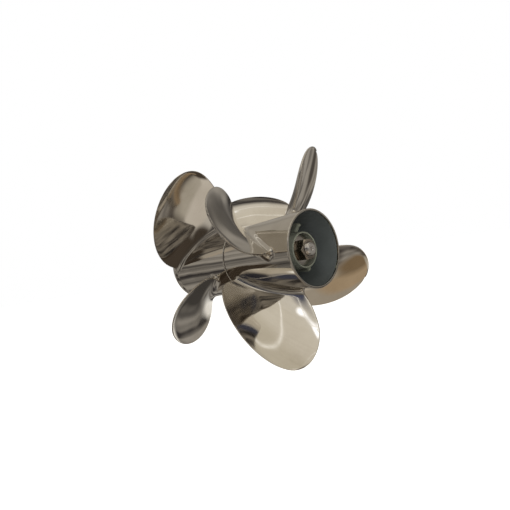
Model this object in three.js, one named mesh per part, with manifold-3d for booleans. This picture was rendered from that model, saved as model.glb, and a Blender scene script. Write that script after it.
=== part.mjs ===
// Counter-rotating boat propeller set on one shaft axis, with the pieces that mount it.
// Millimetres, +Z up. The shaft axis is Y, +Y points forward to the drive, and the blades push
// the water towards -Y. The origin is the centre of the carrier's front face, where the drive
// holds the set. Every station below is measured rearwards from there, so y = -station.
import * as THREE from "three";
import { mergeVertices } from "three/addons/utils/BufferGeometryUtils.js";
import Module from "manifold-3d";

const wasm = await Module();
wasm.setup();

// Gap between pieces that touch, and the radial clearance where a shaft turns in a bearing.
const FIT = 0.3;
const RUN = 0.1;

// Barrels as [station, outer radius, inner radius], front to back.
const FRONT_BARREL = [
  [2, 71, 66.6],
  [6, 72.4, 66.4],
  [14, 71.4, 65.6],
  [50, 67, 62],
  [90, 63.6, 59],
  [130, 61, 56.8],
  [162, 59.4, 55.4],
];
const REAR_BARREL = [
  [163.5, 58.8, 54.8],
  [200, 57.8, 53.8],
  [245, 57.2, 53.2],
  [280, 57.2, 53.4],
  [300, 57.8, 54.4],
  [313, 59, 56],
];
const ROUND = 64;
const FINE_ROUND = 48;

// Blades. A hand of +1 is a right-hand and -1 a left-hand propeller. Leading and trailing are
// half chords measured along the pitch helix; widest is the part of the span where they peak
// and root what is left of them at the foot.
const FRONT_BLADES = {
  count: 4,
  hand: -1,
  phase: -49.2,
  root: 56,
  tip: 181.6,
  station: 86.4,
  pitch: 673,
  pitchGain: 82,
  leading: 84.1,
  leadingWidest: 0.212,
  leadingRoot: 0.9,
  trailing: 83.9,
  trailingWidest: 0.337,
  trailingRoot: 0.426,
  roundness: 1.99,
  skew: [-17.1, 69.7, 1.9],
  rake: [-0.147, 0.293, 0.027],
  camber: 0.034,
  thickness: [10, 2.6],
};
const REAR_BLADES = {
  count: 4,
  hand: 1,
  phase: 28.3,
  root: 56,
  tip: 172.1,
  station: 231.7,
  pitch: 607,
  pitchGain: -51,
  leading: 83,
  leadingWidest: 0.35,
  leadingRoot: 0.633,
  trailing: 69.5,
  trailingWidest: 0.488,
  trailingRoot: 0.701,
  roundness: 1.83,
  skew: [-20.9, 40.6, -1],
  rake: [0.411, -0.046, 0.062],
  camber: 0.022,
  thickness: [10, 2.4],
};
const EDGE = 1.6;
const FOOT = -0.09;
const SPANS = 14;
const CHORDS = 8;

// Inner hubs with their ribs, and the rubber bushes and brass sleeves pressed into them.
// A hub tapers from its outer radius at the taper station to its tail radius at its trailing end,
// and its ribs end before the taper.
const FRONT_HUB = {
  from: 40,
  to: 148,
  outer: 38,
  taper: 138,
  tail: 36,
  bore: 33,
  ribs: 4,
  ribAt: 38,
  ribTo: 136,
  rib: 6.5,
};
const FRONT_SLEEVE = { from: 46, to: 142, outer: 27 };
const REAR_HUB = {
  from: 190,
  to: 293,
  outer: 31,
  taper: 264,
  tail: 27.5,
  bore: 25,
  ribs: 4,
  ribAt: 38,
  ribTo: 260,
  rib: 6.5,
};
const REAR_SLEEVE = { from: 196, to: 280, outer: 19 };

// Hollow shaft of the front propeller and the shaft of the rear propeller inside it.
const TEETH = 14;
const OUTER_SHAFT = { from: 1, to: 162, outer: 20, bore: 16.5, crest: 22.5 };
const INNER_SHAFT = { from: 1, to: 305.5, journal: 13.2, root: 12, crest: 13.8, thread: 10 };
const CHAMFER = 1.5;

// Nuts and washers.
const RING_NUT = { from: 152.3, to: 160, across: 56 };
const REAR_NUT = { from: 284.5, to: 301, across: 30 };

// The drive's carrier, the only piece that does not turn.
const CARRIER = { to: 34, outer: 38, bore: 27 };
const BEARING = { from: 4, to: 24, outer: 26.7 };

const STEEL = material(0xb9b4ab, 0.18, 1);
const DARK_STEEL = material(0x77746e, 0.35, 1);
const BRASS = material(0xb58a3c, 0.35, 1);
const BRONZE = material(0x9c6a3a, 0.4, 1);
const RUBBER = material(0x17181a, 0.8, 0);
const ALUMINIUM = material(0x9a9c9c, 0.5, 1);

const part = new THREE.Group();
part.name = "propeller_set";

function material(colour, roughness, metalness) {
  return new THREE.MeshStandardMaterial({ color: colour, roughness, metalness });
}

function add(name, geometry, finish) {
  const mesh = new THREE.Mesh(geometry, finish);
  mesh.name = name;
  part.add(mesh);
}

// A closed three.js geometry as a manifold-3d solid.
function solid(geometry) {
  const plain = geometry.index ? geometry.toNonIndexed() : geometry;
  const bare = new THREE.BufferGeometry();
  bare.setAttribute("position", plain.getAttribute("position"));
  const merged = mergeVertices(bare, 1e-4);
  return new wasm.Manifold(
    new wasm.Mesh({
      numProp: 3,
      vertProperties: merged.attributes.position.array,
      triVerts: new Uint32Array(merged.index.array),
    }),
  );
}

// A manifold-3d solid as a three.js geometry.
function geometryOf(made) {
  const mesh = made.getMesh();
  const geometry = new THREE.BufferGeometry();
  const points = new Float32Array(mesh.vertProperties);
  geometry.setAttribute("position", new THREE.BufferAttribute(points, 3));
  geometry.setIndex(new THREE.BufferAttribute(new Uint32Array(mesh.triVerts), 1));
  const flat = geometry.toNonIndexed();
  flat.computeVertexNormals();
  return flat;
}

// A body of revolution about the shaft axis from an outline of [station, radius] that runs
// from front to back along its outside and, if it is hollow, returns along its bore.
function turned(outline, segments = FINE_ROUND) {
  const points = outline.map(([station, radius]) => new THREE.Vector2(radius, -station));
  if (outline[0][1] > 0) points.push(points[0].clone());
  points.reverse();
  return new THREE.LatheGeometry(points, segments);
}

function rod(from, to, radius, segments = FINE_ROUND) {
  return turned([[from, 0], [from, radius], [to, radius], [to, 0]], segments);
}

function ring(from, to, outer, bore, segments = FINE_ROUND) {
  return turned([[from, outer], [to, outer], [to, bore], [from, bore]], segments);
}

// A prism along the shaft axis from a flat outline of [x, z] points.
function prism(from, to, outline) {
  const shape = new THREE.Shape(outline.map(([x, z]) => new THREE.Vector2(x, -z)));
  const geometry = new THREE.ExtrudeGeometry(shape, { depth: to - from, bevelEnabled: false });
  geometry.rotateX(Math.PI / 2);
  geometry.translate(0, -from, 0);
  return geometry;
}

// A toothed outline: teeth of a spline between a root and a crest radius.
function toothed(root, crest) {
  const outline = [];
  const step = (2 * Math.PI) / TEETH;
  for (let tooth = 0; tooth < TEETH; tooth++) {
    for (const [part, radius] of [[0, root], [0.42, root], [0.56, crest], [0.86, crest]]) {
      const angle = (tooth + part) * step;
      outline.push([radius * Math.cos(angle), radius * Math.sin(angle)]);
    }
  }
  return outline;
}

function hexagon(across) {
  const corner = across / Math.sqrt(3);
  const turns = [0, 1, 2, 3, 4, 5];
  return turns.map((k) => [corner * Math.cos((k * Math.PI) / 3), corner * Math.sin((k * Math.PI) / 3)]);
}

// A barrel's outside grown by a gap, as a solid plug that reaches past both of its ends.
function plug(barrel, column, gap, reach) {
  const first = barrel[0];
  const last = barrel[barrel.length - 1];
  const outline = [[first[0] - reach, 0], [first[0] - reach, first[column] + gap]];
  for (const row of barrel) outline.push([row[0], row[column] + gap]);
  outline.push([last[0] + reach, last[column] + gap], [last[0] + reach, 0]);
  return solid(turned(outline, ROUND));
}

// A half chord at a part u of the span: a parabola up to its widest place, then a round tip.
function halfChord(peak, widest, rootPart, roundness, u) {
  if (u <= widest) return peak * (1 - (1 - rootPart) * ((widest - u) / widest) ** 2);
  const out = (u - widest) / (1 - widest);
  return peak * Math.max(0, 1 - out ** roundness) ** (1 / roundness);
}

// A point of a blade that stands up along Z: u from root to tip, s from the leading to the
// trailing edge, side -1 on the forward face and +1 on the driving face. Skew is in millimetres
// along the helix and rake is a part of the span's length; both are polynomials of u.
function bladePoint(blade, u, s, side) {
  const radius = blade.root + (blade.tip - blade.root) * u;
  const { leadingWidest, leadingRoot, trailingWidest, trailingRoot, roundness } = blade;
  const ahead = halfChord(blade.leading, leadingWidest, leadingRoot, roundness, u);
  const behind = halfChord(blade.trailing, trailingWidest, trailingRoot, roundness, u);
  const pitch = blade.pitch + blade.pitchGain * (u - 0.5);
  const slope = Math.atan2(pitch, 2 * Math.PI * radius);
  const skew = blade.skew[0] * u + blade.skew[1] * u ** 2 + blade.skew[2] * u ** 3;
  const along = skew - ahead + s * (ahead + behind);
  const bulge = 1 - (2 * s - 1) ** 2;
  const full = blade.thickness[0] + (blade.thickness[1] - blade.thickness[0]) * u;
  const thick = EDGE + Math.max(0, full - EDGE) * Math.sqrt(bulge);
  const across = -blade.camber * (ahead + behind) * bulge + (side * thick) / 2;
  const rake = (blade.rake[0] * u + blade.rake[1] * u ** 2 + blade.rake[2] * u ** 3) * (blade.tip - blade.root);
  const station = blade.station + rake + along * Math.sin(slope) + across * Math.cos(slope);
  const arc = along * Math.cos(slope) - across * Math.sin(slope);
  const angle = (-blade.hand * arc) / radius;
  return [radius * Math.sin(angle), -station, radius * Math.cos(angle)];
}

// A whole blade as a closed solid whose foot reaches into the barrel.
function bladeSolid(blade) {
  const loop = 2 * (CHORDS + 1);
  const points = [];
  for (let span = 0; span <= SPANS; span++) {
    const u = 1 - (1 - FOOT) * (1 - (0.975 * span) / SPANS) ** 2;
    for (let k = 0; k <= CHORDS; k++) points.push(bladePoint(blade, u, edgeSpread(k / CHORDS), 1));
    for (let k = CHORDS; k >= 0; k--) points.push(bladePoint(blade, u, edgeSpread(k / CHORDS), -1));
  }
  const faces = [];
  const quad = (a, b, c, d) => faces.push(a, b, c, a, c, d);
  for (let span = 0; span < SPANS; span++) {
    for (let k = 0; k < loop; k++) {
      const next = (k + 1) % loop;
      const low = span * loop;
      quad(low + k, low + next, low + loop + next, low + loop + k);
    }
  }
  for (let k = 0; k < CHORDS; k++) {
    const top = SPANS * loop;
    quad(k + 1, k, loop - 1 - k, loop - 2 - k);
    quad(top + k, top + k + 1, top + loop - 2 - k, top + loop - 1 - k);
  }
  if (blade.hand > 0) faces.reverse();
  return new wasm.Manifold(
    new wasm.Mesh({
      numProp: 3,
      vertProperties: new Float32Array(points.flat()),
      triVerts: new Uint32Array(faces),
    }),
  );
}

// Chord stations drawn towards both edges.
function edgeSpread(k) {
  return 0.5 - 0.5 * Math.cos(Math.PI * k);
}

function addBlades(name, blade, barrel) {
  const foot = plug(barrel, 1, FIT, 40);
  const cut = bladeSolid(blade).subtract(foot);
  for (let k = 0; k < blade.count; k++) {
    const turn = blade.phase + (360 * k) / blade.count;
    add(`${name}_blade_${k + 1}`, geometryOf(cut.rotate([0, turn, 0])), STEEL);
  }
}

// Barrel, blades, inner hub and ribs: the casting of one propeller.
function addPropeller(name, barrel, blade, hub) {
  const outline = barrel.map(([station, outer]) => [station, outer]);
  const bore = barrel.map(([station, , inner]) => [station, inner]).reverse();
  add(`${name}_barrel`, turned([...outline, ...bore], ROUND), STEEL);
  addBlades(name, blade, barrel);
  const tube = [
    [hub.from, hub.outer],
    [hub.taper, hub.outer],
    [hub.to, hub.tail],
    [hub.to, hub.bore],
    [hub.from, hub.bore],
  ];
  add(`${name}_inner_hub`, turned(tube), DARK_STEEL);
  const room = plug(barrel, 2, -FIT, 0).subtract(solid(rod(0, 320, hub.outer + FIT)));
  const half = hub.rib / 2;
  const web = [[-half, hub.outer - 5], [half, hub.outer - 5], [half, 80], [-half, 80]];
  const sheet = solid(prism(hub.from + 4, hub.ribTo, web)).intersect(room);
  for (let k = 0; k < hub.ribs; k++) {
    const turn = hub.ribAt + (360 * k) / hub.ribs;
    add(`${name}_rib_${k + 1}`, geometryOf(sheet.rotate([0, turn, 0])), DARK_STEEL);
  }
}

// Rubber bush and the brass sleeve in it, whose bore is toothed to fit a shaft.
function addBush(name, hub, sleeve, root, crest) {
  const { from, to, outer } = sleeve;
  add(`${name}_rubber_bush`, ring(from, to, hub.bore - FIT, outer + FIT), RUBBER);
  const bore = solid(prism(from - 1, to + 1, toothed(root + FIT, crest + FIT)));
  add(`${name}_spline_sleeve`, geometryOf(solid(rod(from, to, outer)).subtract(bore)), BRASS);
}

// A shaft's round body joined to its toothed length.
function splined(body, from, to, root, crest) {
  return solid(body).add(solid(prism(from, to, toothed(root, crest))));
}

// A hexagon nut with both of its faces chamfered.
function hexNut(nut, bore) {
  const { from, to, across } = nut;
  const corner = across / Math.sqrt(3);
  const flat = across / 2 - 0.2;
  const drop = (corner - flat) * 0.58;
  const chamfered = [
    [from, 0],
    [from, flat],
    [from + drop, corner + 0.02],
    [to - drop, corner + 0.02],
    [to, flat],
    [to, 0],
  ];
  const body = solid(prism(from, to, hexagon(across))).intersect(solid(turned(chamfered)));
  return geometryOf(body.subtract(solid(rod(from - 1, to + 1, bore))));
}

function addFrontMounting() {
  const { from, to, outer, bore, crest } = OUTER_SHAFT;
  const { from: first, to: last } = FRONT_SLEEVE;
  const root = outer + 0.6;
  addBush("front", FRONT_HUB, FRONT_SLEEVE, root, crest);
  const body = splined(rod(from, to, outer), first - 3, last + 1, root, crest);
  const hollow = body.subtract(solid(rod(from - 1, to + 1, bore)));
  add("outer_shaft", geometryOf(hollow), DARK_STEEL);
  add("front_thrust_ring", ring(FRONT_HUB.from - 3.8, FRONT_HUB.from - FIT, 37, crest + 1), BRONZE);
  add("front_lock_washer", ring(FRONT_HUB.to + FIT, RING_NUT.from - FIT, 31, outer + FIT), DARK_STEEL);
  add("front_ring_nut", hexNut(RING_NUT, outer + FIT), DARK_STEEL);
  add("shaft_sleeve_bearing", ring(120, 158, bore - FIT, INNER_SHAFT.journal + RUN), BRONZE);
}

function addRearMounting() {
  const { from, to, journal, root, crest, thread } = INNER_SHAFT;
  const { from: first, to: last } = REAR_SLEEVE;
  addBush("rear", REAR_HUB, REAR_SLEEVE, root, crest);
  const body = turned([
    [from, 0],
    [from, journal],
    [first - 6, journal],
    [first - 6, root],
    [last, root],
    [last, thread],
    [to - CHAMFER, thread],
    [to, thread - CHAMFER],
    [to, 0],
  ]);
  add("inner_shaft", geometryOf(splined(body, first - 2, last - 0.5, root, crest)), DARK_STEEL);
  add("rear_thrust_washer", ring(first - 5.7, first - FIT, 24.5, crest + 1), BRONZE);
  add("rear_washer", ring(last + FIT, REAR_NUT.from - FIT, 24, thread + FIT), DARK_STEEL);
  add("rear_nut", hexNut(REAR_NUT, thread + FIT), DARK_STEEL);
}

function addFixedSide() {
  const { to, outer, bore } = CARRIER;
  const lip = bore - 3;
  const outline = [
    [0, outer],
    [26, outer],
    [30, outer - 4],
    [to, outer - 4],
    [to, bore],
    [BEARING.from - FIT, bore],
    [BEARING.from - FIT, lip],
    [0, lip],
  ];
  add("bearing_carrier", turned(outline, ROUND), ALUMINIUM);
  add("carrier_bearing", ring(BEARING.from, BEARING.to, BEARING.outer, OUTER_SHAFT.outer + RUN), DARK_STEEL);
}

addPropeller("front", FRONT_BARREL, FRONT_BLADES, FRONT_HUB);
addFrontMounting();
addPropeller("rear", REAR_BARREL, REAR_BLADES, REAR_HUB);
addRearMounting();
addFixedSide();

export default part;
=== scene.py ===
# %% [markdown]
# # A counter-rotating boat propeller set
#
# Two polished stainless propellers sit one behind the other on the same shaft axis and turn in
# opposite directions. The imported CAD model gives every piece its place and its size, and this
# lesson gives each piece its finished shape and its surface. Stations are millimetres measured
# rearwards along the shaft from the face where the drive holds the set, so y is minus the station.

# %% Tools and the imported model
import bpy
import bmesh
from math import cos, exp, pi, sin, tau
from mathutils import Matrix, Vector


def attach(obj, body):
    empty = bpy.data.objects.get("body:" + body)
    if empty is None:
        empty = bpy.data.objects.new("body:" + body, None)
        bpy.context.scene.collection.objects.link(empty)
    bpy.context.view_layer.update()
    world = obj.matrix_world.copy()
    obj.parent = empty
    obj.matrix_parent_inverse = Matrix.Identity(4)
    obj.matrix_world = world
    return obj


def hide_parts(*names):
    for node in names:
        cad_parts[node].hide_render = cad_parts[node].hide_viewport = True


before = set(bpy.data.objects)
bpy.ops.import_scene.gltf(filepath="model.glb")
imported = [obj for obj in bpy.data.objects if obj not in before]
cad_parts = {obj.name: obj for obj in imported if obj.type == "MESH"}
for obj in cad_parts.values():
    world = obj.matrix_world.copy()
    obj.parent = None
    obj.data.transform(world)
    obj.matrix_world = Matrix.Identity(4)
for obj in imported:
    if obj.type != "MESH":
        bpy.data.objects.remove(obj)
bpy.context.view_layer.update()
MM = 0.001

# %% [markdown]
# ## The camera
#
# A propeller set like this is looked at from its trailing end, a little from the left, close up
# with a wide lens, so the near blades look larger than the far ones. The camera leans slightly,
# which lifts the trailing end of the shaft. A look-at constraint would hide the lean, so the
# camera's three axes are written out and used as the columns of its matrix.

# %% Camera
VIEW_TURN = 44.54 * pi / 180
VIEW_LEAN = -8.67 * pi / 180
VIEW_DISTANCE = 509 * MM
VIEW_CENTRE = Vector((0, -237.8 * MM, 0))
VIEW_LENS = 22.1
VIEW_SHIFT = (-0.049, -0.003)

camera = bpy.data.objects.new("camera", bpy.data.cameras.new("camera"))
bpy.context.scene.collection.objects.link(camera)
back = Vector((-sin(VIEW_TURN), -cos(VIEW_TURN), 0))
level = Vector((cos(VIEW_TURN), -sin(VIEW_TURN), 0))
up = Vector((0, 0, 1))
right = level * cos(VIEW_LEAN) + up * sin(VIEW_LEAN)
above = up * cos(VIEW_LEAN) - level * sin(VIEW_LEAN)
turn = Matrix((right, above, back)).transposed().to_4x4()
camera.matrix_world = Matrix.Translation(VIEW_CENTRE + back * VIEW_DISTANCE) @ turn
camera.data.sensor_width = 36
camera.data.lens = VIEW_LENS
camera.data.shift_x, camera.data.shift_y = VIEW_SHIFT
camera.data.clip_start = 0.01
bpy.context.scene.camera = camera
print("camera at", [round(c, 3) for c in camera.location])

# %% [markdown]
# ## The driving sizes
#
# Every size below is the one that the CAD model was built with. A blade is described by its half
# chords, its skew, its rake and its pitch, and a barrel by one smooth curve, so that the same
# numbers shape the barrel's wall and the feet of the blades that grow out of it.

# %% Sizes of the barrels and blades
FRONT_BARREL = {
    "Barrel first": 2.0,
    "Barrel last": 162.0,
    "Barrel neck": 59.3,
    "Barrel flare": 12.0,
    "Barrel bow": 0.0,
}
REAR_BARREL = {
    "Barrel first": 163.5,
    "Barrel last": 313.0,
    "Barrel neck": 57.2,
    "Barrel flare": 0.0,
    "Barrel bow": 1.6,
}
FRONT_BLADES = {
    "Count": 4,
    "Hand": -1,
    "Phase": -49.2,
    "Root": 56,
    "Tip": 181.6,
    "Station": 86.4,
    "Pitch": 673,
    "Pitch gain": 82,
    "Leading": 84.1,
    "Leading widest": 0.212,
    "Leading root": 0.9,
    "Trailing": 83.9,
    "Trailing widest": 0.337,
    "Trailing root": 0.426,
    "Roundness": 1.99,
    "Skew 1": -17.1,
    "Skew 2": 69.7,
    "Skew 3": 1.9,
    "Rake 1": -0.147,
    "Rake 2": 0.293,
    "Rake 3": 0.027,
    "Camber": 0.034,
    "Thick root": 10,
    "Thick tip": 3.0,
    "Edge": 1.3,
    "Cup": 1.6,
    "Fillet": 11,
}
REAR_BLADES = {
    "Count": 4,
    "Hand": 1,
    "Phase": 28.3,
    "Root": 56,
    "Tip": 172.1,
    "Station": 231.7,
    "Pitch": 607,
    "Pitch gain": -51,
    "Leading": 83,
    "Leading widest": 0.35,
    "Leading root": 0.633,
    "Trailing": 69.5,
    "Trailing widest": 0.488,
    "Trailing root": 0.701,
    "Roundness": 1.83,
    "Skew 1": -20.9,
    "Skew 2": 40.6,
    "Skew 3": -1,
    "Rake 1": 0.411,
    "Rake 2": -0.046,
    "Rake 3": 0.062,
    "Camber": 0.022,
    "Thick root": 10,
    "Thick tip": 3.0,
    "Edge": 1.3,
    "Cup": 1.6,
    "Fillet": 11,
}
BARREL_CURVE = 1.35
print("front and rear tip radius:", FRONT_BLADES["Tip"], REAR_BLADES["Tip"])

# %% [markdown]
# ## Arithmetic in a node tree
#
# Geometry Nodes can work out a blade, but a formula drawn with bare Math nodes is hard to read.
# The Field class wraps a socket so that plus, times and power make the nodes. Plain numbers go
# through the same helper functions, so the barrel's curve is written only once.

# %% Fields that calculate
class Field:
    """A number that varies over a mesh, inside a Geometry Nodes tree."""

    def __init__(self, tree, socket):
        self.tree = tree
        self.socket = socket

    def __add__(self, other):
        return calculate("ADD", self, other)

    def __sub__(self, other):
        return calculate("SUBTRACT", self, other)

    def __mul__(self, other):
        return calculate("MULTIPLY", self, other)

    def __truediv__(self, other):
        return calculate("DIVIDE", self, other)

    def __pow__(self, other):
        return calculate("POWER", self, other)

    def __rsub__(self, other):
        return calculate("SUBTRACT", other, self)

    def __rtruediv__(self, other):
        return calculate("DIVIDE", other, self)

    __radd__ = __add__
    __rmul__ = __mul__


def calculate(operation, *values):
    tree = next(v.tree for v in values if isinstance(v, Field))
    node = tree.nodes.new("ShaderNodeMath")
    node.operation = operation
    for socket, value in zip(node.inputs, values):
        if isinstance(value, Field):
            tree.links.new(value.socket, socket)
        else:
            socket.default_value = value
    return Field(tree, node.outputs[0])


def at_least(value, floor):
    if isinstance(value, Field):
        return calculate("MAXIMUM", value, floor)
    return max(value, floor)


def at_most(value, ceiling):
    return calculate("MINIMUM", value, ceiling)


def between_0_and_1(value):
    return at_most(at_least(value, 0.0), 1.0)


def choose(test, yes, no):
    return test * (yes - no) + no


def barrel_radius(size, station):
    """Outer radius of a barrel at a station: a neck, a flare forwards and a shallow bow."""
    length = size["Barrel last"] - size["Barrel first"]
    ahead = at_least((size["Barrel last"] - station) / length, 0.0)
    across = (station - size["Barrel first"]) / length * -2.0 + 1.0
    flare = size["Barrel flare"] * ahead ** BARREL_CURVE
    return size["Barrel neck"] + flare + size["Barrel bow"] * across * across


for size in (FRONT_BARREL, REAR_BARREL):
    ends = (size["Barrel first"], size["Barrel last"])
    print("barrel radius at its ends:", [round(barrel_radius(size, e), 1) for e in ends])

# %% [markdown]
# ## A tree with named inputs
#
# Each Geometry Nodes tree starts the same way: one geometry input, one number input for each
# size, a material input, and at the end Realize Instances and Set Material. The last two turn
# copies into plain mesh with a finish. After the modifier has worked, its result is copied out
# as an ordinary mesh and the modifier is gone.

# %% Start, end and bake a tree
MERGE_DISTANCE = 2e-6
SLIVER_LENGTH = 1e-6
SHARP_ANGLE = 38 * pi / 180


def start_tree(name, sizes):
    tree = bpy.data.node_groups.new(name, "GeometryNodeTree")
    tree.interface.new_socket("Geometry", in_out="INPUT", socket_type="NodeSocketGeometry")
    for label in sizes:
        tree.interface.new_socket(label, in_out="INPUT", socket_type="NodeSocketFloat")
    tree.interface.new_socket("Finish", in_out="INPUT", socket_type="NodeSocketMaterial")
    tree.interface.new_socket("Geometry", in_out="OUTPUT", socket_type="NodeSocketGeometry")
    entry = tree.nodes.new("NodeGroupInput")
    fields = {label: Field(tree, entry.outputs[label]) for label in sizes}
    return tree, entry, fields


def node(tree, kind, **links):
    made = tree.nodes.new(kind)
    for label, value in links.items():
        socket = made.inputs[label.replace("_", " ")]
        if isinstance(value, Field):
            tree.links.new(value.socket, socket)
        elif isinstance(value, bpy.types.NodeSocket):
            tree.links.new(value, socket)
        else:
            socket.default_value = value
    return made


def end_tree(tree, entry, geometry):
    real = node(tree, "GeometryNodeRealizeInstances", Geometry=geometry)
    painted = node(tree, "GeometryNodeSetMaterial", Geometry=real.outputs[0])
    tree.links.new(entry.outputs["Finish"], painted.inputs["Material"])
    leave = tree.nodes.new("NodeGroupOutput")
    tree.links.new(painted.outputs[0], leave.inputs[0])


def around_the_shaft(tree, geometry, count, phase):
    """Copies of a geometry turned about the shaft axis, phase degrees from upright."""
    line = node(tree, "GeometryNodeMeshLine", Count=count, Offset=(0, 0, 0))
    index = Field(tree, tree.nodes.new("GeometryNodeInputIndex").outputs[0])
    angle = (phase + index * 360.0 / count) * (pi / 180)
    euler = node(tree, "ShaderNodeCombineXYZ", Y=angle)
    rotation = node(tree, "FunctionNodeEulerToRotation", Euler=euler.outputs[0])
    copies = node(
        tree,
        "GeometryNodeInstanceOnPoints",
        Points=line.outputs["Mesh"],
        Instance=geometry,
        Rotation=rotation.outputs[0],
    )
    return copies.outputs["Instances"]


def bake(name, tree, sizes, finish, mesh=None):
    """Runs a tree on a mesh and returns the result as a plain mesh object."""
    start = bpy.data.objects.new(name + "_start", mesh or bpy.data.meshes.new(name))
    bpy.context.scene.collection.objects.link(start)
    modifier = start.modifiers.new(name, "NODES")
    modifier.node_group = tree
    for item in tree.interface.items_tree:
        if item.in_out == "INPUT" and item.name in sizes:
            modifier[item.identifier] = float(sizes[item.name])
        elif item.in_out == "INPUT" and item.name == "Finish":
            modifier[item.identifier] = finish
    graph = bpy.context.evaluated_depsgraph_get()
    graph.update()
    plain = bpy.data.meshes.new_from_object(start.evaluated_get(graph))
    bpy.data.objects.remove(start)
    return put(name, plain, [finish])


def put(name, mesh, finishes):
    """Links a mesh as a piece at the origin, closed, facing out and smooth."""
    work = bmesh.new()
    work.from_mesh(mesh)
    bmesh.ops.remove_doubles(work, verts=work.verts, dist=MERGE_DISTANCE)
    bmesh.ops.dissolve_degenerate(work, edges=work.edges, dist=SLIVER_LENGTH)
    bmesh.ops.recalc_face_normals(work, faces=work.faces)
    work.to_mesh(mesh)
    work.free()
    slots = [min(face.material_index, len(finishes) - 1) for face in mesh.polygons]
    mesh.materials.clear()
    for finish in finishes:
        mesh.materials.append(finish)
    mesh.polygons.foreach_set("material_index", slots)
    mesh.polygons.foreach_set("use_smooth", [True] * len(mesh.polygons))
    mesh.set_sharp_from_angle(angle=SHARP_ANGLE)
    piece = bpy.data.objects.new(name, mesh)
    bpy.context.scene.collection.objects.link(piece)
    print(name, len(mesh.vertices), "points,", len(mesh.polygons), "faces")
    return piece

# %% [markdown]
# ## Shared surface effects
#
# Several finishes need the same three effects: fine lines left by a polishing belt, soft smudges
# of handling, and the shallow waves of a hand-finished surface. Each is a shader node group with
# named inputs and outputs. A group only gives numbers that change over the surface, and every
# material keeps its own Principled shader.

# %% Shader node groups
def start_effect(name, inputs, outputs):
    group = bpy.data.node_groups.new(name, "ShaderNodeTree")
    for label, value in inputs.items():
        socket = group.interface.new_socket(label, in_out="INPUT", socket_type="NodeSocketFloat")
        socket.default_value = value
    for label in outputs:
        group.interface.new_socket(label, in_out="OUTPUT", socket_type="NodeSocketFloat")
    entry = group.nodes.new("NodeGroupInput")
    leave = group.nodes.new("NodeGroupOutput")
    fields = {label: Field(group, entry.outputs[label]) for label in inputs}
    return group, fields, leave


def object_place(tree):
    place = tree.nodes.new("ShaderNodeTexCoord").outputs["Object"]
    return node(tree, "ShaderNodeSeparateXYZ", Vector=place).outputs, place


def noise(tree, vector, scale, detail=3.0):
    made = node(tree, "ShaderNodeTexNoise", Vector=vector, Scale=scale, Detail=detail)
    return Field(tree, made.outputs[0])


def belt_lines():
    """Fine lines that run round the shaft axis, as a polishing belt or a lathe leaves them."""
    group, value, leave = start_effect("Belt lines", {"Spacing": 900.0}, ["Lines"])
    (x, y, z), place = object_place(group)
    radius = calculate("SQRT", Field(group, x) ** 2.0 + Field(group, z) ** 2.0)
    sweep = calculate("ARCTAN2", Field(group, x), Field(group, z)) * 0.003
    across = radius + Field(group, y) * 0.6
    line = node(group, "ShaderNodeCombineXYZ", X=across, Y=sweep)
    lines = noise(group, line.outputs[0], value["Spacing"], 2.0)
    group.links.new(lines.socket, leave.inputs["Lines"])
    return group


def smudges():
    """Soft patches of haze, with a few finer streaks inside them."""
    group, value, leave = start_effect("Smudges", {"Size": 14.0, "Coverage": 0.5}, ["Haze"])
    place = object_place(group)[1]
    broad = noise(group, place, value["Size"], 4.0)
    fine = noise(group, place, value["Size"] * 9.0, 2.0)
    haze = between_0_and_1((broad + value["Coverage"] - 1.0) * 5.0 + 0.5)
    group.links.new((haze * (0.6 + fine * 0.8)).socket, leave.inputs["Haze"])
    return group


def hand_waves():
    """Shallow waves that bend a reflection, as on a casting polished by hand."""
    group, value, leave = start_effect("Hand waves", {"Size": 16.0}, ["Waves"])
    place = object_place(group)[1]
    waves = noise(group, place, value["Size"], 1.0)
    group.links.new(waves.socket, leave.inputs["Waves"])
    return group


def cast_grain():
    """The sandy grain of an unpolished casting, with some larger pits."""
    group, value, leave = start_effect("Cast grain", {"Size": 700.0}, ["Grain", "Stain"])
    place = object_place(group)[1]
    grain = noise(group, place, value["Size"], 5.0)
    stain = noise(group, place, value["Size"] * 0.04, 4.0)
    group.links.new(grain.socket, leave.inputs["Grain"])
    group.links.new(stain.socket, leave.inputs["Stain"])
    return group


EFFECTS = {
    "lines": belt_lines(),
    "haze": smudges(),
    "waves": hand_waves(),
    "grain": cast_grain(),
}
print("shared effects:", ", ".join(group.name for group in EFFECTS.values()))

# %% [markdown]
# ## Finishes
#
# The castings are stainless steel, polished to a mirror on the outside and left dark and rough
# inside, where the exhaust runs. Fasteners and shafts are turned steel with visible tool lines.
# Constant values such as metallic sit on the Principled shader itself. Colour, roughness and bump
# are built from the shared effects.

# %% Materials
def start_finish(name, metallic):
    made = bpy.data.materials.new(name)
    made.use_nodes = True
    shader = made.node_tree.nodes["Principled BSDF"]
    shader.inputs["Metallic"].default_value = metallic
    return made, made.node_tree, shader


def effect(tree, key, output, **settings):
    made = tree.nodes.new("ShaderNodeGroup")
    made.node_tree = EFFECTS[key]
    for label, value in settings.items():
        made.inputs[label].default_value = value
    return Field(tree, made.outputs[output])


def colour_between(tree, first, second, amount):
    mix = tree.nodes.new("ShaderNodeMix")
    mix.data_type = "RGBA"
    colours = [s for s in mix.inputs if s.type == "RGBA"]
    colours[0].default_value = (*first, 1)
    colours[1].default_value = (*second, 1)
    tree.links.new(between_0_and_1(amount).socket, mix.inputs[0])
    return [s for s in mix.outputs if s.type == "RGBA"][0]


def bump(tree, height, distance, strength=1.0, under=None):
    made = tree.nodes.new("ShaderNodeBump")
    made.inputs["Distance"].default_value = distance
    made.inputs["Strength"].default_value = strength
    tree.links.new(height.socket, made.inputs["Height"])
    if under:
        tree.links.new(under, made.inputs["Normal"])
    return made.outputs[0]


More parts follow.
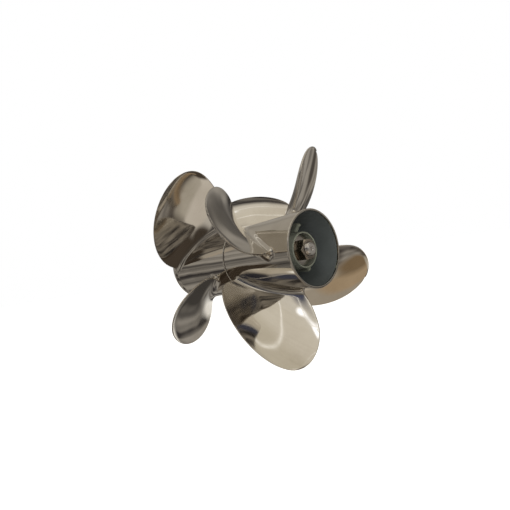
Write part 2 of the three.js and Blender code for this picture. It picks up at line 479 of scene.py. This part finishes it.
def steel(name, light, dark, roughness, haze_rough, line_depth, wave_depth, spacing=900.0):
    """A metal finish with belt lines, soft haze and, on a casting, hand waves."""
    made, tree, shader = start_finish(name, 1.0)
    haze = effect(tree, "haze", "Haze", Size=13.0, Coverage=0.48)
    lines = effect(tree, "lines", "Lines", Spacing=spacing)
    waves = effect(tree, "waves", "Waves", Size=15.0)
    colour = colour_between(tree, light, dark, haze * 0.55 + lines * 0.35)
    tree.links.new(colour, shader.inputs["Base Color"])
    rough = haze * haze_rough + lines * (roughness * 0.7) + roughness * 0.65
    tree.links.new(rough.socket, shader.inputs["Roughness"])
    normal = bump(tree, waves, wave_depth) if wave_depth else None
    if line_depth:
        normal = bump(tree, lines, line_depth, 1.0, normal)
    tree.links.new(normal, shader.inputs["Normal"])
    return made


def cast(name, light, dark, metallic, roughness, grain_depth, size=700.0):
    """An unpolished finish with grain and stains."""
    made, tree, shader = start_finish(name, metallic)
    grain = effect(tree, "grain", "Grain", Size=size)
    stain = effect(tree, "grain", "Stain", Size=size)
    colour = colour_between(tree, light, dark, stain * 1.6 - 0.3 + grain * 0.3)
    tree.links.new(colour, shader.inputs["Base Color"])
    tree.links.new((stain * 0.25 + roughness).socket, shader.inputs["Roughness"])
    tree.links.new(bump(tree, grain, grain_depth), shader.inputs["Normal"])
    return made


POLISHED = steel(
    "polished_stainless",
    light=(0.70, 0.665, 0.61),
    dark=(0.58, 0.54, 0.48),
    roughness=0.05,
    haze_rough=0.05,
    line_depth=0.0,
    wave_depth=0.0011,
    spacing=420.0,
)
TURNED = steel(
    "turned_steel",
    light=(0.60, 0.57, 0.53),
    dark=(0.44, 0.41, 0.38),
    roughness=0.20,
    haze_rough=0.10,
    line_depth=0.00002,
    wave_depth=0.0,
    spacing=1500.0,
)
BRONZED = steel(
    "bronzed_nut_steel",
    light=(0.50, 0.45, 0.38),
    dark=(0.36, 0.31, 0.26),
    roughness=0.24,
    haze_rough=0.12,
    line_depth=0.00003,
    wave_depth=0.0,
    spacing=1100.0,
)
SPINDLE = steel(
    "ground_shaft_steel",
    light=(0.74, 0.72, 0.70),
    dark=(0.58, 0.56, 0.54),
    roughness=0.14,
    haze_rough=0.08,
    line_depth=0.00001,
    wave_depth=0.0,
    spacing=1800.0,
)
CHARCOAL = cast(
    "exhaust_charcoal",
    light=(0.022, 0.0245, 0.0225),
    dark=(0.031, 0.034, 0.033),
    metallic=0.0,
    roughness=0.46,
    grain_depth=0.00004,
)
HUB_CAST = cast(
    "greenish_hub_casting",
    light=(0.20, 0.205, 0.155),
    dark=(0.09, 0.093, 0.075),
    metallic=0.6,
    roughness=0.34,
    grain_depth=0.00004,
)
RUBBER = cast(
    "bush_rubber",
    light=(0.020, 0.019, 0.022),
    dark=(0.035, 0.033, 0.036),
    metallic=0.0,
    roughness=0.62,
    grain_depth=0.00006,
)
BRASS = steel(
    "brass_ring",
    light=(0.78, 0.58, 0.27),
    dark=(0.60, 0.42, 0.18),
    roughness=0.22,
    haze_rough=0.12,
    line_depth=0.00002,
    wave_depth=0.0,
    spacing=1300.0,
)
ALUMINIUM = cast(
    "carrier_aluminium",
    light=(0.62, 0.63, 0.64),
    dark=(0.45, 0.46, 0.47),
    metallic=1.0,
    roughness=0.28,
    grain_depth=0.00008,
    size=500.0,
)
FINISHES = (POLISHED, TURNED, BRONZED, SPINDLE, CHARCOAL, HUB_CAST, RUBBER, BRASS, ALUMINIUM)
print("finishes:", [finish.name for finish in FINISHES])

# %% [markdown]
# ## The blades
#
# A propeller blade follows a rule, so Geometry Nodes work it out. A flat grid is bent into a
# blade: one direction of the grid climbs from the barrel to the tip, and the other runs round the
# section from the leading edge to the trailing edge and back. Near the barrel each row swells by a
# quarter circle, which is the fillet, and follows the barrel's own curve. The first row folds flat
# inside the wall, and the last one closes to the tip, so the blade is a closed solid. The trailing
# edge has a slight cup, which helps the real blade grip the water.

# %% The shape of one blade
ROWS = 86
AROUND = 145
FILLET_ROWS = 12
FOOT_DEPTH = 1.6
CUP_PART = 0.12
BODY_CURVE = 1.25


def half_chord(peak, widest, root_part, roundness, u):
    inner = (widest - u) / widest
    root_side = peak * (1.0 - (1.0 - root_part) * inner * inner)
    outer = between_0_and_1((u - widest) / (1.0 - widest))
    tip_side = peak * at_least(1.0 - outer**roundness, 0.0) ** (1.0 / roundness)
    return choose(calculate("LESS_THAN", u, widest), root_side, tip_side)


def nose(distance, reach):
    """Height of a quarter circle of a given reach, at a distance from its start."""
    short = 1.0 - at_most(distance / reach, 1.0)
    return calculate("SQRT", at_least(1.0 - short * short, 0.0))


def blade_place(size, u, turn, swell, body):
    """Angle, station and radius of a blade's skin at a height u and a turn round the section."""
    span = size["Tip"] - size["Root"]
    radius = size["Root"] + span * u
    chords = []
    for edge in ("Leading", "Trailing"):
        peak, widest, part = size[edge], size[edge + " widest"], size[edge + " root"]
        chords.append(half_chord(peak, widest, part, size["Roundness"], u) + swell)
    chord = chords[0] + chords[1]
    s = 0.5 - calculate("COSINE", turn) * 0.5
    sine = calculate("SINE", turn)
    side = calculate("SIGN", sine)
    bulge = sine * sine

    to_edge = at_most(s, 1.0 - s) * chord
    to_tip = at_least((1.0 - u) * span, 0.0001)
    edge_distance = to_edge * to_tip / calculate("SQRT", to_edge**2.0 + to_tip**2.0)
    thick = size["Thick root"] + (size["Thick tip"] - size["Thick root"]) * u
    middle = (thick * 0.5 - size["Edge"]) * bulge ** (BODY_CURVE / 2)
    reach = size["Edge"] + swell
    half = nose(edge_distance, reach) * (reach + middle) * body

    curl = at_least(s - (1.0 - CUP_PART), 0.0) / CUP_PART
    cup = size["Cup"] * curl * curl * between_0_and_1(u * 3.0 - 0.6)
    across = side * half - size["Camber"] * chord * bulge + cup
    along = u * size["Skew 1"] + u * u * size["Skew 2"] + u * u * u * size["Skew 3"]
    along = along - chords[0] + s * chord
    rake = (u * size["Rake 1"] + u * u * size["Rake 2"] + u * u * u * size["Rake 3"]) * span
    pitch = size["Pitch"] + size["Pitch gain"] * (u - 0.5)
    slope = calculate("ARCTAN2", pitch, radius * tau)
    rise, run = calculate("SINE", slope), calculate("COSINE", slope)
    station = size["Station"] + rake + along * rise + across * run
    angle = (across * rise - along * run) * size["Hand"] / radius
    return angle, station, radius


def place_on_shaft(tree, grid, angle, station, radius):
    """Moves a grid's points to their angle, station and radius, from millimetres to metres."""
    x = radius * calculate("SINE", angle) * MM
    z = radius * calculate("COSINE", angle) * MM
    spot = node(tree, "ShaderNodeCombineXYZ", X=x, Y=station * -MM, Z=z)
    return node(tree, "GeometryNodeSetPosition", Geometry=grid, Position=spot.outputs[0])


def unit_grid(tree, rows, around):
    grid = node(tree, "GeometryNodeMeshGrid", Vertices_X=rows, Vertices_Y=around)
    across = node(tree, "ShaderNodeSeparateXYZ", Vector=grid.outputs["UV Map"])
    row = calculate("ROUND", Field(tree, across.outputs["X"]) * (rows - 1.0))
    step = calculate("ROUND", Field(tree, across.outputs["Y"]) * (around - 1.0))
    return grid.outputs["Mesh"], row, step / (around - 1.0)


def blade_tree(name, sizes):
    tree, entry, size = start_tree(name, sizes)
    mesh, row, step = unit_grid(tree, ROWS, AROUND)
    turn = step * tau
    body = between_0_and_1(row)
    climbed = between_0_and_1((row - 2.0) / FILLET_ROWS)
    swept = climbed * (pi / 2)
    swell = size["Fillet"] * (1.0 - calculate("SINE", swept))
    beyond = between_0_and_1((row - 2.0 - FILLET_ROWS) / (ROWS - 3.0 - FILLET_ROWS))
    foot = barrel_radius(size, size["Station"])
    fillet_height = size["Fillet"] * (1.0 - calculate("COSINE", swept))
    height = (size["Tip"] - foot - size["Fillet"]) * (1.0 - (1.0 - beyond) ** 2.0)
    sink = (1.0 - between_0_and_1(row - 1.0)) * FOOT_DEPTH
    level = foot + fillet_height + height - sink
    span = size["Tip"] - size["Root"]
    station = blade_place(size, (level - size["Root"]) / span, turn, swell, body)[1]
    follow = (1.0 - beyond) ** 3.0
    level = level + (barrel_radius(size, station) - foot) * follow
    place = blade_place(size, (level - size["Root"]) / span, turn, swell, body)
    blade = place_on_shaft(tree, mesh, *place)
    copies = around_the_shaft(tree, blade.outputs[0], size["Count"], size["Phase"])
    end_tree(tree, entry, copies)
    return tree


print("grid of one blade:", ROWS, "rows of", AROUND, "points")

# %% Both sets of blades
def grow_blades(name, blades, barrel, body):
    sizes = {**blades, **barrel}
    piece = bake(name, blade_tree(name, sizes), sizes, POLISHED)
    nodes = [f"{body.split('_')[0]}_blade_{k}" for k in range(1, blades["Count"] + 1)]
    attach(piece, body)
    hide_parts(*nodes)


grow_blades("front_blades", FRONT_BLADES, FRONT_BARREL, "front_propeller")
grow_blades("rear_blades", REAR_BLADES, REAR_BARREL, "rear_propeller")

# %% [markdown]
# ## Turned pieces
#
# Barrels, hubs, washers and shafts are all turned about the shaft axis. Each one is a closed
# outline of station and radius, with its corners softened, swept round in many steps. An outline
# point also says which finish the skin takes from there on, so that a barrel can be polished
# outside and dark inside.

# %% Outlines and turning
STEPS_ROUND = 192
CORNER_STEPS = 4


def soften(outline, reach):
    """Replaces each corner of a closed outline by a small curve of a given reach."""
    curve = []
    for k, (station, radius, finish) in enumerate(outline):
        corner = Vector((station, radius))
        before = Vector(outline[k - 1][:2]) - corner
        after = Vector(outline[(k + 1) % len(outline)][:2]) - corner
        start = corner + before.normalized() * min(reach, before.length * 0.45)
        end = corner + after.normalized() * min(reach, after.length * 0.45)
        for step in range(CORNER_STEPS + 1):
            part = step / CORNER_STEPS
            low, high = start.lerp(corner, part), corner.lerp(end, part)
            curve.append((*low.lerp(high, part), finish))
    return curve


def turn_about_shaft(name, outline, finishes, steps=STEPS_ROUND):
    points, faces, slots = [], [], []
    for step in range(steps):
        angle = tau * step / steps
        for station, radius, _ in outline:
            points.append((radius * sin(angle) * MM, -station * MM, radius * cos(angle) * MM))
    count = len(outline)
    for step in range(steps):
        here, there = step * count, (step + 1) % steps * count
        for k in range(count):
            after = (k + 1) % count
            faces.append((here + k, there + k, there + after, here + after))
            slots.append(outline[k][2])
    mesh = bpy.data.meshes.new(name)
    mesh.from_pydata(points, [], faces)
    mesh.polygons.foreach_set("material_index", slots)
    return put(name, mesh, finishes)


def ring(name, first, last, inner, outer, finish, reach=0.6):
    """A plain ring or tube with softened corners."""
    outline = [(first, inner, 0), (first, outer, 0), (last, outer, 0), (last, inner, 0)]
    return turn_about_shaft(name, soften(outline, reach), [finish])


def settle(piece, body, slot, *nodes):
    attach(piece, body)
    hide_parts(*nodes)


print("steps round the shaft:", STEPS_ROUND, "steps in a corner:", CORNER_STEPS)

# %% [markdown]
# ## The two barrels
#
# The barrel is the casting's outer tube. Exhaust leaves through it, so it is open from end to end.
# Its outside follows the same curve as the feet of the blades, and its wall has one thickness. The
# rear barrel widens slightly at both ends, and the front one has a rounded lip at its leading end.

# %% Barrels
BARREL_STEPS = 60
BARREL_ROUND = 256
FRONT_WALL = 4.3
REAR_WALL = 3.4
FRONT_LIP = 1.4
LIP_PLACE = 5
LIP_WIDTH = 4
RIM_SOFTNESS = 1.2


def barrel(name, size, wall, lip, body, node_name):
    first, last = size["Barrel first"], size["Barrel last"]
    stations = [first + (last - first) * k / BARREL_STEPS for k in range(BARREL_STEPS + 1)]
    outside, inside = [], []
    for station in stations:
        bead = lip * exp(-(((station - first - LIP_PLACE) / LIP_WIDTH) ** 2))
        radius = barrel_radius(size, station)
        outside.append((station, radius + bead, 0))
        inside.append((station, radius - wall, 1))
    rear_rim = soften([outside[-1], inside[-1], inside[-2], outside[-2]], RIM_SOFTNESS)
    front_rim = soften([inside[0], outside[0], outside[1], inside[1]], RIM_SOFTNESS)
    half = CORNER_STEPS + 1
    rear_points = [(s, r, 0) for s, r, _ in rear_rim[: 2 * half - 2]]
    front_points = [(s, r, 0) for s, r, _ in front_rim[: 2 * half]]
    outline = outside[1:-1] + rear_points + list(reversed(inside[1:-1])) + front_points
    piece = turn_about_shaft(name, outline, [POLISHED, CHARCOAL], BARREL_ROUND)
    settle(piece, body, "polished_steel", node_name)


barrel(
    "front_barrel_shell", FRONT_BARREL, FRONT_WALL, FRONT_LIP, "front_propeller", "front_barrel"
)
barrel("rear_barrel_shell", REAR_BARREL, REAR_WALL, 0.0, "rear_propeller", "rear_barrel")

# %% [markdown]
# ## Inner hubs and ribs
#
# Inside each barrel a smaller hub holds the rubber bush, and four ribs carry it. The ribs are cast
# with the barrel, so they swell into both walls with a fillet. A rib is made the way a blade is:
# rows climb from the hub to the wall, and each row is a slot with round ends.

# %% Ribs
RIB_ROWS = 26
RIB_AROUND = 49
WALL_OVERLAP = 1.2
FRONT_RIBS = {
    "Count": 4,
    "Phase": 38,
    "Inner": 37.2,
    "First": 44,
    "Last": 136,
    "Width": 6.5,
    "Fillet": 4.5,
    "Station": 95,
    "Wall": FRONT_WALL,
}
REAR_RIBS = {
    "Count": 4,
    "Phase": 38,
    "Inner": 30.2,
    "First": 194,
    "Last": 260,
    "Width": 6.5,
    "Fillet": 4.5,
    "Station": 240,
    "Wall": REAR_WALL,
}


def rib_tree(name, sizes):
    tree, entry, size = start_tree(name, sizes)
    mesh, row, step = unit_grid(tree, RIB_ROWS, RIB_AROUND)
    turn = step * tau
    solid = between_0_and_1(row) * between_0_and_1(RIB_ROWS - 1.0 - row)
    climb = between_0_and_1((row - 1.0) / (RIB_ROWS - 3.0))
    climb = 0.5 - calculate("COSINE", climb * pi) * 0.5
    outer = barrel_radius(size, size["Station"]) - size["Wall"] + WALL_OVERLAP
    depth = outer - size["Inner"]
    to_end = at_most(climb, 1.0 - climb) * depth
    short = at_least(size["Fillet"] - to_end, 0.0)
    swell = size["Fillet"] - calculate("SQRT", size["Fillet"] ** 2.0 - short * short)
    half = size["Width"] * 0.5 + swell
    s = 0.5 - calculate("COSINE", turn) * 0.5
    length = size["Last"] - size["First"] + swell * 2.0
    to_nose = at_most(s, 1.0 - s) * length
    side = calculate("SIGN", calculate("SINE", turn)) * nose(to_nose, half) * half * solid
    station = size["First"] - swell + s * length
    wall = barrel_radius(size, station) - size["Wall"] + WALL_OVERLAP
    radius = size["Inner"] + (wall - size["Inner"]) * climb
    rib = place_on_shaft(tree, mesh, side / radius, station, radius)
    end_tree(tree, entry, around_the_shaft(tree, rib.outputs[0], size["Count"], size["Phase"]))
    return tree


def ribs_of(name, ribs, barrel_size, finish):
    sizes = {**ribs, **barrel_size}
    return bake(name, rib_tree(name, sizes), sizes, finish)


for side, ribs, size in (("front", FRONT_RIBS, FRONT_BARREL), ("rear", REAR_RIBS, REAR_BARREL)):
    cast_ribs = ribs_of(f"{side}_ribs", ribs, size, HUB_CAST)
    rib_nodes = [f"{side}_rib_{k}" for k in range(1, 5)]
    settle(cast_ribs, f"{side}_propeller", "hub_steel", *rib_nodes)

# %% [markdown]
# ## Hubs, bushes and washers
#
# The hub tube tapers behind its ribs, so that the exhaust leaves freely round the nut. A rubber
# bush is pressed into it, with a brass sleeve inside, and lets the blades slip when they strike
# something. These are rings with softened edges. The two brass sleeves keep their CAD shape,
# because their toothed bores are already right.

# %% Hubs
HUB_SOFTNESS = 1.2
for side, outline in (
    ("front", [(40, 33, 0), (40, 38, 0), (138, 38, 0), (148, 36, 0), (148, 33, 0)]),
    ("rear", [(190, 25, 0), (190, 31, 0), (264, 31, 0), (293, 27.5, 0), (293, 25, 0)]),
):
    hub = turn_about_shaft(f"{side}_hub_tube", soften(outline, HUB_SOFTNESS), [HUB_CAST])
    settle(hub, f"{side}_propeller", "hub_steel", f"{side}_inner_hub")

# %% Rings that sit on the shafts
RINGS = [
    ("front_bush", 46, 142, 27.3, 32.7, RUBBER, "rubber", "front_rubber_bush"),
    ("rear_bush", 196, 280, 19.3, 24.7, RUBBER, "rubber", "rear_rubber_bush"),
    ("front_thrust_face", 36.2, 39.7, 23.5, 37, BRASS, "brass", "front_thrust_ring"),
    ("rear_thrust_face", 190.3, 195.7, 14.8, 24.5, BRASS, "brass", "rear_thrust_washer"),
    ("front_tab_washer", 148.3, 152, 20.3, 31, TURNED, "shaft_steel", "front_lock_washer"),
    ("rear_nut_washer", 280.3, 284.2, 10.3, 24, TURNED, "shaft_steel", "rear_washer"),
    ("shaft_plain_bearing", 120, 158, 13.3, 16.2, BRASS, "brass", "shaft_sleeve_bearing"),
]
for name, first, last, inner, outer, finish, slot, node_name in RINGS:
    body = "rear_propeller" if name.startswith("rear") else "front_propeller"
    settle(ring(name, first, last, inner, outer, finish), body, slot, node_name)

# %% [markdown]
# ## Nuts
#
# A hexagonal nut is a hexagon cut by a cone at both ends, which gives the curved edges round each
# corner. Its outline is worked out for every direction: the smaller of the hexagon's reach and the
# cone's. A dished bore mouth lets the thread start.

# %% Nuts
NUT_STEPS = 180
NUT_CHAMFER_SLOPE = 1.6
NUT_MOUTH = 0.9
NUT_FACE_INSET = 0.2
NUT_CORNER_CUT = 0.25
NUT_ROW_DEPTHS = [0, 0.15, 0.4, 0.8, 1.3, 2.0]


def nut(name, first, last, across, bore, finish):
    inscribed = across / 2
    corner = inscribed / cos(pi / 6)
    stations = [first + d for d in NUT_ROW_DEPTHS]
    stations += [last - d for d in reversed(NUT_ROW_DEPTHS)]
    points, faces = [], []
    table = [("bore", first + NUT_MOUTH, 0), ("mouth", first, 0)]
    table += [("skin", s, min(s - first, last - s)) for s in stations]
    table += [("mouth", last, 0), ("bore", last - NUT_MOUTH, 0)]
    for kind, station, depth in table:
        for step in range(NUT_STEPS):
            angle = tau * step / NUT_STEPS
            from_flat = (angle % (pi / 3)) - pi / 6
            reach = inscribed / cos(from_flat)
            cone = inscribed - NUT_FACE_INSET + depth * NUT_CHAMFER_SLOPE
            skin = min(reach, cone, corner - NUT_CORNER_CUT)
            radius = {"bore": bore, "mouth": bore + NUT_MOUTH, "skin": skin}[kind]
            x, z = radius * cos(angle), radius * sin(angle)
            points.append((x * MM, -station * MM, z * MM))
    count = len(table)
    for row in range(count):
        for step in range(NUT_STEPS):
            here, there = row * NUT_STEPS, (row + 1) % count * NUT_STEPS
            after = (step + 1) % NUT_STEPS
            faces.append((here + step, here + after, there + after, there + step))
    mesh = bpy.data.meshes.new(name)
    mesh.from_pydata(points, [], faces)
    return put(name, mesh, [finish])


settle(nut("rear_hex_nut", 284.5, 301, 30, 10.3, BRONZED), "rear_propeller", "shaft_steel", "rear_nut")
front_nut = nut("front_hex_ring_nut", 152.3, 160, 56, 20.4, TURNED)
settle(front_nut, "front_propeller", "shaft_steel", "front_ring_nut")

# %% [markdown]
# ## The two shafts
#
# The hollow outer shaft turns the front propeller, and the solid inner shaft runs through it to
# the rear one. Both drive through splines: fourteen teeth that are made by the same tree as the
# ribs, only narrow and without a wall to meet. The inner shaft ends in a thread for the nut. A
# thread's surface follows one rule: its height depends on the distance along the shaft minus the
# part of a turn that has gone by, which draws a helix round the grid.

# %% Thread
THREAD_ROWS = 150
THREAD_AROUND = 97
THREAD = {"First": 280.2, "Last": 305.3, "Core": 8.4, "Root": 8.95, "Crest": 9.9, "Lead": 2.5}


def thread_tree(name, sizes):
    tree, entry, size = start_tree(name, sizes)
    mesh, row, step = unit_grid(tree, THREAD_ROWS, THREAD_AROUND)
    on_skin = between_0_and_1(row) * between_0_and_1(THREAD_ROWS - 2.0 - row)
    along = between_0_and_1((row - 1.0) / (THREAD_ROWS - 4.0))
    back = calculate("GREATER_THAN", row, THREAD_ROWS - 1.5)
    along = along * (1.0 - back)
    station = size["First"] + (size["Last"] - size["First"]) * along
    turns = station / size["Lead"] - step
    saw = calculate("FRACT", turns) * 2.0 - 1.0
    ridge = between_0_and_1((1.0 - calculate("ABSOLUTE", saw)) * 1.35 - 0.12)
    rounded = ridge * ridge * (3.0 - ridge * 2.0)
    to_end = at_most(size["Last"] - station, station - size["First"])
    height = at_most(rounded * (size["Crest"] - size["Root"]), to_end * 0.8)
    skin = size["Root"] + height
    radius = choose(on_skin, skin, size["Core"])
    thread = place_on_shaft(tree, mesh, step * tau, station, radius)
    end_tree(tree, entry, thread.outputs[0])
    return tree


threads = bake("shaft_thread", thread_tree("shaft_thread", THREAD), THREAD, SPINDLE)
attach(threads, "rear_propeller")

# %% Shaft bodies
CENTRE_HOLE = [(305.5, 3.4, 0), (302.6, 1.2, 0), (299.5, 1.2, 0), (298.8, 0, 0)]
spindle_outline = [(1, 0, 0), (1, 12.2, 0), (2.2, 13.2, 0), (189, 13.2, 0), (190, 12, 0)]
spindle_outline += [(279.4, 12, 0), (280, 9, 0), (304.2, 9, 0), (305.5, 7.7, 0)] + CENTRE_HOLE
spindle = turn_about_shaft("rear_drive_shaft", spindle_outline, [SPINDLE])
settle(spindle, "rear_propeller", "shaft_steel", "inner_shaft")
tube = ring("front_drive_shaft", 1, 162, 16.5, 20, SPINDLE, 0.8)
settle(tube, "front_propeller", "shaft_steel", "outer_shaft")

# %% Splines
SPLINES = {
    "front": {"Inner": 19.4, "First": 44, "Last": 142, "Width": 3.4, "Crest": 22.3},
    "rear": {"Inner": 11.4, "First": 195, "Last": 278.6, "Width": 2.1, "Crest": 13.7},
}
TOOTH_COUNT = 14
TOOTH_FILLET = 0.25

for side, spline in SPLINES.items():
    teeth = {key: spline[key] for key in ("Inner", "First", "Last", "Width")}
    teeth.update({"Count": TOOTH_COUNT, "Phase": 0, "Fillet": TOOTH_FILLET, "Wall": WALL_OVERLAP})
    teeth["Station"] = (spline["First"] + spline["Last"]) / 2
    straight = {"Barrel first": 0, "Barrel last": 313, "Barrel neck": spline["Crest"]}
    straight.update({"Barrel flare": 0, "Barrel bow": 0})
    piece = ribs_of(f"{side}_shaft_splines", teeth, straight, SPINDLE)
    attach(piece, f"{side}_propeller")

# %% [markdown]
# ## The carrier and its bearing
#
# The carrier belongs to the drive and stands still. It is a turned aluminium ring with a seal
# groove, and it holds the bearing that the outer shaft turns in. The bearing shows two ground
# races with a rubber seal between them at each end.

# %% Carrier and bearing
carrier_outline = [(0, 24, 0), (0, 38, 0), (9, 38, 0), (9, 36.4, 0), (12, 36.4, 0), (12, 38, 0)]
carrier_outline += [(26, 38, 0), (30, 34, 0), (34, 34, 0), (34, 27, 0), (3.7, 27, 0), (3.7, 24, 0)]
carrier = turn_about_shaft("carrier_ring", soften(carrier_outline, 0.5), [ALUMINIUM])
settle(carrier, "carrier", "aluminium", "bearing_carrier")
race = ring("bearing_outer_race", 4, 24, 24.3, 26.7, SPINDLE, 0.5)
settle(race, "carrier", "hub_steel", "carrier_bearing")
for name, first, last, inner, outer, finish in (
    ("bearing_inner_race", 4, 24, 20.1, 21.6, SPINDLE),
    ("bearing_front_seal", 4.6, 6.4, 21.7, 24.2, RUBBER),
    ("bearing_rear_seal", 21.6, 23.4, 21.7, 24.2, RUBBER),
):
    piece = ring(name, first, last, inner, outer, finish, 0.5)
    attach(piece, "carrier")

# %% The two CAD sleeves that keep their shape
for name in ("front_spline_sleeve", "rear_spline_sleeve"):
    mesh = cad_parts[name].data
    mesh.materials.clear()
    mesh.materials.append(BRASS)
print("all bodies have their pieces")

# %% [markdown]
# ## The studio
#
# Polished steel shows its surroundings more than itself, so the room matters as much as the metal.
# The room is painted on the world as a list of soft panels: each has a direction, a width, a soft
# edge and a colour. The floor and the background are plain and pale, and the floor is hidden
# from reflections so that the panels show instead.

# %% World
# Each panel has a bearing in degrees from straight astern, turning to the right, a height in
# degrees above the horizon, a width, an edge softness, and the colour of its light.
PANELS = [
    ("ceiling", 0, 90, 62, 30, (0.42, 0.39, 0.34)),
    ("window wall left", -42, 40, 24, 10, (0.80, 0.76, 0.68)),
    ("window wall middle", -12, 46, 26, 12, (0.78, 0.73, 0.63)),
    ("window wall right", 22, 46, 18, 12, (0.66, 0.61, 0.50)),
    ("lit floor left", -62, -42, 13, 5, (0.60, 0.57, 0.52)),
    ("lit floor middle", -42, -48, 15, 5, (0.66, 0.61, 0.54)),
    ("lit floor right", -12, -55, 10, 5, (0.50, 0.46, 0.39)),
    ("tan floor near", -28, -24, 15, 8, (0.42, 0.37, 0.30)),
    ("tan floor far", -10, -35, 13, 8, (0.46, 0.35, 0.23)),
    ("brown floor", 12, -46, 11, 8, (0.24, 0.17, 0.10)),
    ("dark ground", 0, -90, 29, 6, (0.070, 0.055, 0.042)),
    ("dark cupboard low", -86, -50, 15, 5, (0.065, 0.052, 0.040)),
    ("dark cupboard", -93, -24, 9, 5, (0.070, 0.058, 0.046)),
    ("dark door", -84, 30, 15, 6, (0.038, 0.040, 0.058)),
    ("blue door edge", -60, 20, 9, 8, (0.080, 0.088, 0.135)),
    ("bright window", -44, 28, 3.5, 3, (1.9, 1.95, 2.05)),
    ("lit side wall", 124, -9, 11, 6, (0.95, 0.92, 0.86)),
    ("dark side corner", 122, -33, 10, 7, (0.06, 0.055, 0.05)),
    ("dark side band", 84, -16, 6, 5, (0.09, 0.08, 0.07)),
]
# Each strip is a thin line of light round a pole: bearing and height of the pole, the angle
# between the pole and the line, its width and softness, and its colour.
STRIPS = [
    ("tube light near", -20, 84, 38, 0.5, 0.7, (1.25, 1.22, 1.15)),
    ("tube light far", -50, 76, 50, 0.4, 0.7, (1.10, 1.08, 1.02)),
]
WALL_LIGHT = (0.37, 0.345, 0.31)
WALL_DARK = (0.045, 0.041, 0.040)
CLUTTER_SIZE = 3.4
CLUTTER_CONTRAST = 4.2


def wall_clutter(tree, direction):
    """Soft level patches, like shelves, doors and windows that are out of focus."""
    parts = node(tree, "ShaderNodeSeparateXYZ", Vector=direction).outputs
    x, y, z = (Field(tree, part) for part in parts)
    level = node(tree, "ShaderNodeCombineXYZ", X=x, Y=y, Z=z * 2.6)
    patches = noise(tree, level.outputs[0], CLUTTER_SIZE, 1.5)
    amount = (patches - 0.5) * CLUTTER_CONTRAST + 0.55
    return colour_between(tree, WALL_DARK, WALL_LIGHT, amount)


def aim_of(bearing, height):
    turned, raised = bearing * pi / 180, height * pi / 180
    return sin(turned) * cos(raised), -cos(turned) * cos(raised), sin(raised)


def away_from(tree, direction, aim):
    """Angle in degrees between the direction looked in and an aim."""
    facing = tree.nodes.new("ShaderNodeVectorMath")
    facing.operation = "DOT_PRODUCT"
    facing.inputs[1].default_value = aim
    tree.links.new(direction, facing.inputs[0])
    return calculate("ARCCOSINE", Field(tree, facing.outputs["Value"])) * (180 / pi)


def lay_over(tree, colour, light, amount, label):
    mix = tree.nodes.new("ShaderNodeMix")
    mix.data_type = "VECTOR"
    mix.label = label
    vectors = [s for s in mix.inputs if s.type == "VECTOR"]
    tree.links.new(between_0_and_1(amount).socket, mix.inputs[0])
    tree.links.new(colour, vectors[-2])
    vectors[-1].default_value = light
    return [s for s in mix.outputs if s.type == "VECTOR"][0]


def paint_room(panels, strips):
    world = bpy.data.worlds.new("studio")
    world.use_nodes = True
    tree = world.node_tree
    tree.nodes.clear()
    direction = tree.nodes.new("ShaderNodeTexCoord").outputs["Generated"]
    colour = wall_clutter(tree, direction)
    for label, bearing, height, width, softness, light in panels:
        away = away_from(tree, direction, aim_of(bearing, height))
        colour = lay_over(tree, colour, light, (width - away) / softness + 0.5, label)
    for label, bearing, height, angle, width, softness, light in strips:
        away = away_from(tree, direction, aim_of(bearing, height))
        off_line = calculate("ABSOLUTE", away - angle)
        colour = lay_over(tree, colour, light, (width - off_line) / softness + 0.5, label)
    room = node(tree, "ShaderNodeBackground", Color=colour)
    paper = node(tree, "ShaderNodeBackground", Color=(1, 1, 1, 1), Strength=1.0)
    seen = tree.nodes.new("ShaderNodeLightPath").outputs["Is Camera Ray"]
    choice = tree.nodes.new("ShaderNodeMixShader")
    tree.links.new(seen, choice.inputs[0])
    tree.links.new(room.outputs[0], choice.inputs[1])
    tree.links.new(paper.outputs[0], choice.inputs[2])
    leave = tree.nodes.new("ShaderNodeOutputWorld")
    tree.links.new(choice.outputs[0], leave.inputs[0])
    bpy.context.scene.world = world


paint_room(PANELS, STRIPS)
bpy.context.scene.view_settings.view_transform = "Standard"
print("panels:", [panel[0] for panel in PANELS])

# %% Lamps and floor
LAMPS = [
    ("key", (-0.9, -0.9, 1.1), 0.7, 16),
    ("barrel light", (-0.45, -1.0, 0.12), 0.4, 14),
]
FLOOR_DROP = 0.36
FLOOR_REACH = 12
FLOOR_COLOUR = (0.93, 0.93, 0.92, 1)
FLOOR_GLOW = 0.75
for name, place, width, power in LAMPS:
    lamp = bpy.data.lights.new(name, "AREA")
    lamp.size = width
    lamp.energy = power
    holder = bpy.data.objects.new(name, lamp)
    holder.location = place
    holder.visible_glossy = False
    aim = VIEW_CENTRE - holder.location
    holder.rotation_euler = aim.to_track_quat("-Z", "Y").to_euler()
    bpy.context.scene.collection.objects.link(holder)

floor_mesh = bpy.data.meshes.new("floor")
floor_corners = [(-1, -1), (1, -1), (1, 1), (-1, 1)]
floor_points = [(x * FLOOR_REACH, y * FLOOR_REACH, -FLOOR_DROP) for x, y in floor_corners]
floor_mesh.from_pydata(floor_points, [], [(0, 1, 2, 3)])
floor = bpy.data.objects.new("floor", floor_mesh)
floor_finish, _, floor_shader = start_finish("pale_floor", 0.0)
floor_shader.inputs["Base Color"].default_value = FLOOR_COLOUR
floor_shader.inputs["Roughness"].default_value = 0.9
floor_shader.inputs["Emission Color"].default_value = (1, 1, 1, 1)
floor_shader.inputs["Emission Strength"].default_value = FLOOR_GLOW
floor_mesh.materials.append(floor_finish)
floor.visible_glossy = False
bpy.context.scene.collection.objects.link(floor)
print("lamps:", [lamp[0] for lamp in LAMPS], "floor drop:", FLOOR_DROP)
